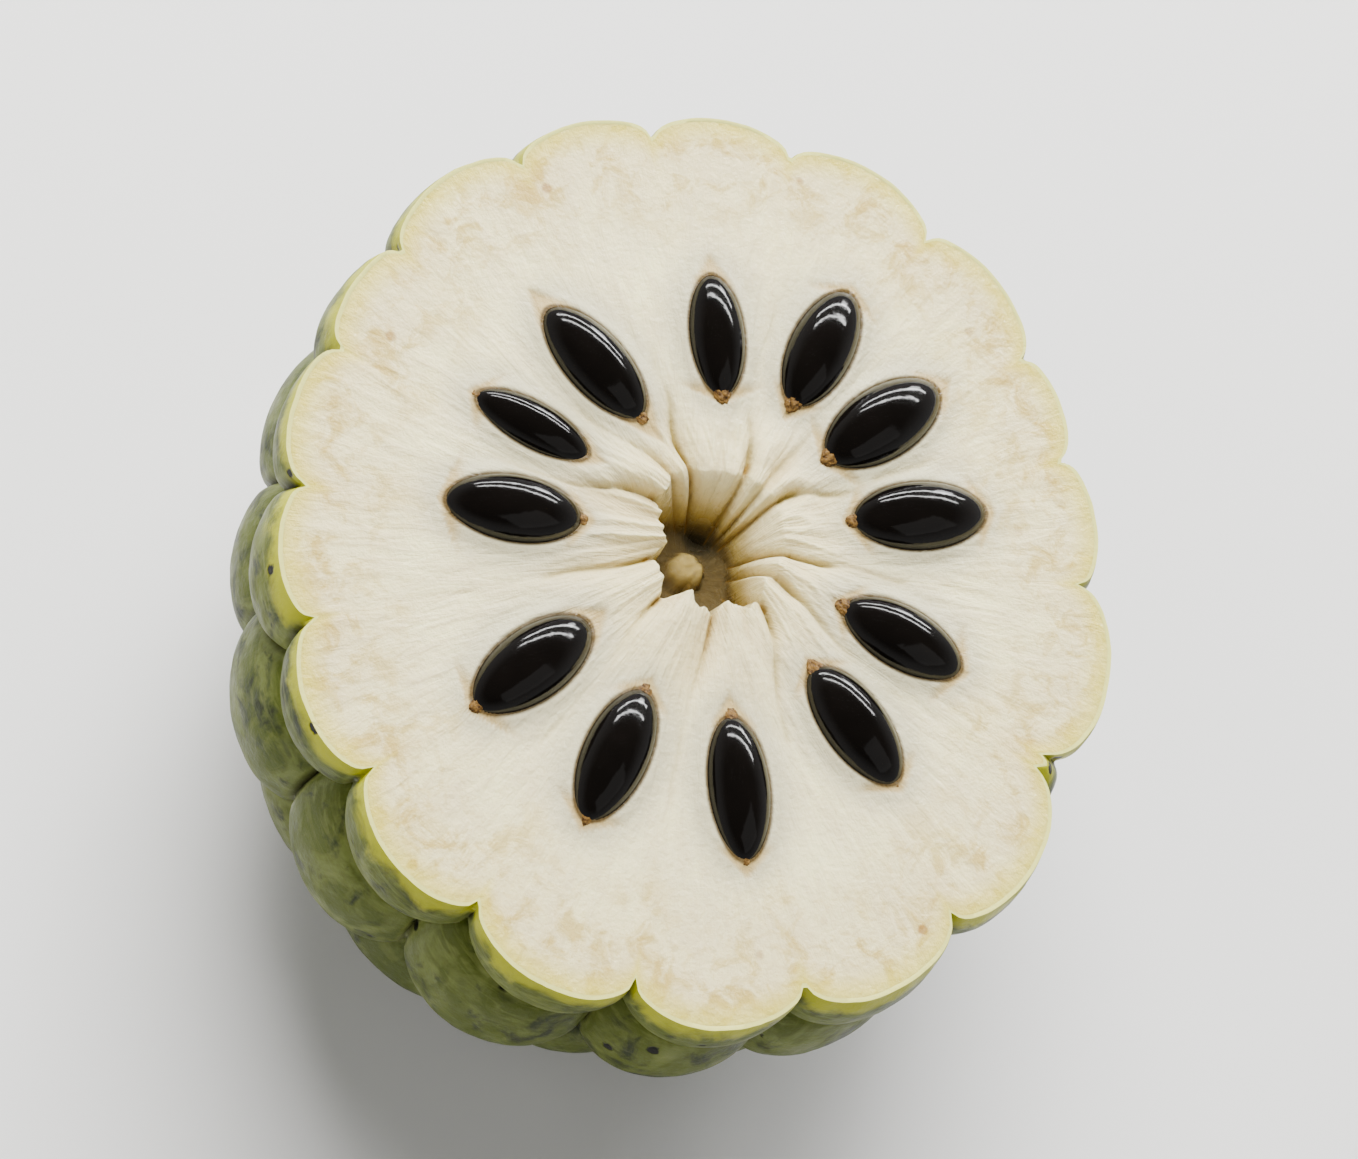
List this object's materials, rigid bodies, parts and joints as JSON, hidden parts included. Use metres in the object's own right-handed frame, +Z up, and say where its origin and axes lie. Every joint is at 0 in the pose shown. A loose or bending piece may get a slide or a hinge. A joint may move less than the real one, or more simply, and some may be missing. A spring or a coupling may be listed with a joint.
{
  "type": "halved custard apple",
  "caption": "Half of a custard apple lying on its knobbly green rind, cut face up, with cream flesh, a hollow core and glossy black seeds in their pockets.",
  "frame": {"origin": "centre of the small flat spot on the rind that the half rests on, at the bottom of the core's line", "axes": "+Z up along the core, square to the cut face; the cut face's long way lies 15 degrees off +Y, towards +X"},
  "size_m": [0.0761, 0.0854, 0.0454],
  "materials": {
    "rind": "matte, slightly waxy",
    "flesh": "moist satin",
    "seed_coat": "gloss"
  },
  "bodies": {
    "root": {"fruit_half": "flesh", "seed_01": "seed_coat", "seed_02": "seed_coat", "seed_03": "seed_coat", "seed_04": "seed_coat", "seed_05": "seed_coat", "seed_06": "seed_coat", "seed_07": "seed_coat", "seed_08": "seed_coat", "seed_09": "seed_coat", "seed_10": "seed_coat", "seed_11": "seed_coat", "seed_12": "seed_coat"}
  },
  "joints": []
}
